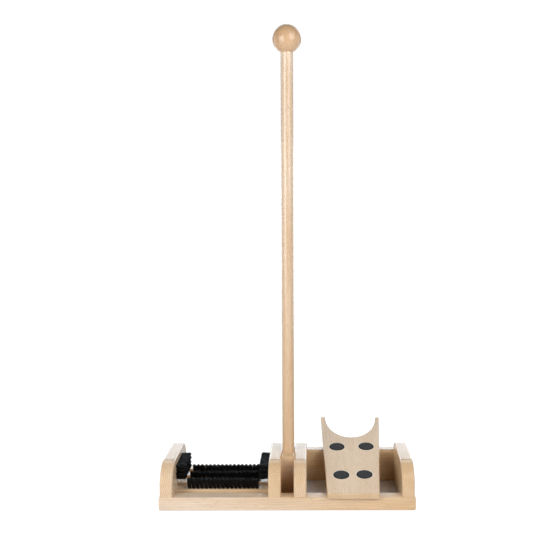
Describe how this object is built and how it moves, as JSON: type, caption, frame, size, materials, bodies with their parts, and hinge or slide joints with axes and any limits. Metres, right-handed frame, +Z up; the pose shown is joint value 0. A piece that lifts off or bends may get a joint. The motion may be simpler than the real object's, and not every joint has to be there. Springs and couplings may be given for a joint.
{
  "type": "boot cleaner with boot jack",
  "caption": "Free-standing wooden boot cleaner with floor and side brushes, a loose boot jack lying on a rest board, and a tall holding pole with a ball knob.",
  "frame": {"origin": "centre of the base's footprint, on the floor", "axes": "+X to the right (towards the boot jack), +Y to the back (towards the jack's horns), +Z up along the pole"},
  "size_m": [0.5, 0.3233, 0.9464],
  "materials": {
    "beech_board": "sanded beech under a satin oil or lacquer",
    "beech_turned": "turned and polished beech",
    "dowel_wood": "plain fluted beech dowel",
    "bristle": "stiff black synthetic bristle",
    "pad_rubber": "matt charcoal rubber",
    "screw_steel": "zinc-plated"
  },
  "bodies": {
    "base": {"front_rail": "beech_board", "back_rail": "beech_board", "left_end_cheek": "beech_board", "left_middle_cheek": "beech_board", "right_middle_cheek": "beech_board", "right_end_cheek": "beech_board", "front_brush_slat": "beech_board", "middle_brush_slat": "beech_board", "back_brush_slat": "beech_board", "jack_rest_board": "beech_board", "pole_block": "beech_board", "pole": "beech_turned", "ball_knob": "beech_turned", "slat_dowels": "dowel_wood", "block_dowels": "dowel_wood", "pole_lock_dowel": "dowel_wood", "front_floor_bristles": "bristle", "middle_floor_bristles": "bristle", "back_floor_bristles": "bristle", "left_side_bristles": "bristle", "right_side_bristles": "bristle", "rail_screws": "screw_steel", "rest_board_screws": "screw_steel"},
    "jack": {"jack_board": "beech_board", "front_left_jack_pad": "pad_rubber", "front_right_jack_pad": "pad_rubber", "rear_left_jack_pad": "pad_rubber", "rear_right_jack_pad": "pad_rubber"}
  },
  "joints": [
    {"name": "jack_lift", "type": "slide", "parent": "base", "child": "jack", "axis": [0, 0, 1], "range_m": [0, 0.12]}
  ]
}
